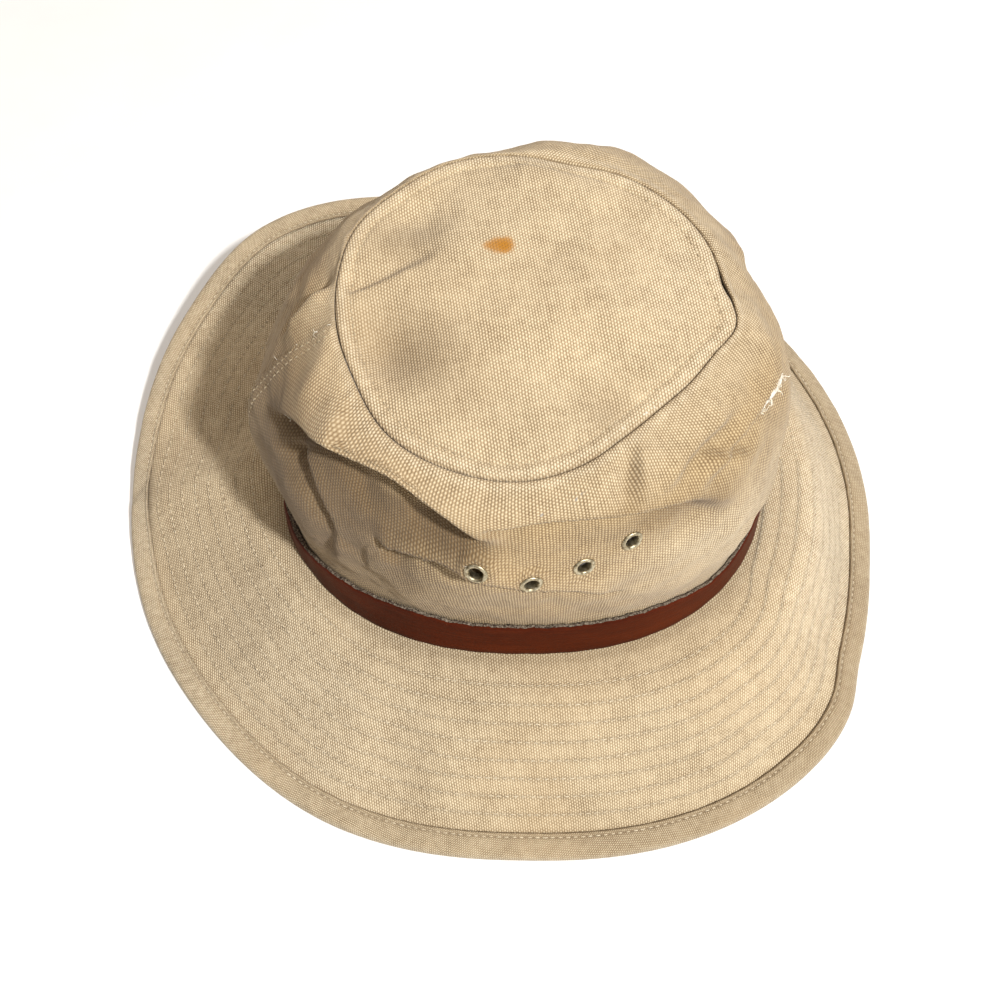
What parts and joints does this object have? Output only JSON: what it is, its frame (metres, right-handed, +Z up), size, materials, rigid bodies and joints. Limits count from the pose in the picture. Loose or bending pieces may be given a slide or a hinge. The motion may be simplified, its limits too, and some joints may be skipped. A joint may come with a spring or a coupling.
{
  "type": "sun hat",
  "caption": "Slumped cotton canvas sun hat with a flat oval tip, a stitched wide brim with a taped rim, a leather hat band and metal vent eyelets.",
  "frame": {"origin": "on the surface the hat rests on, below the middle of its footprint", "axes": "+X to the front of the hat, +Y to the wearer's left, +Z up through the crown"},
  "size_m": [0.3092, 0.3012, 0.1454],
  "materials": {
    "crown_tip": "matt tan cotton canvas",
    "crown_side": "matt tan cotton canvas",
    "brim": "matt tan cotton canvas, quilted with rows of stitches",
    "brim_binding": "matt tan cotton tape",
    "hat_band": "smooth red-brown leather with a dark raw edge",
    "eyelets": "dull, tarnished"
  },
  "bodies": {
    "root": {"crown_tip": "crown_tip", "crown_side": "crown_side", "brim": "brim", "brim_binding": "brim_binding", "hat_band": "hat_band", "eyelet_right_1": "eyelets", "eyelet_right_2": "eyelets", "eyelet_right_3": "eyelets", "eyelet_right_4": "eyelets", "eyelet_left_1": "eyelets", "eyelet_left_2": "eyelets", "eyelet_left_3": "eyelets", "eyelet_left_4": "eyelets"}
  },
  "joints": []
}
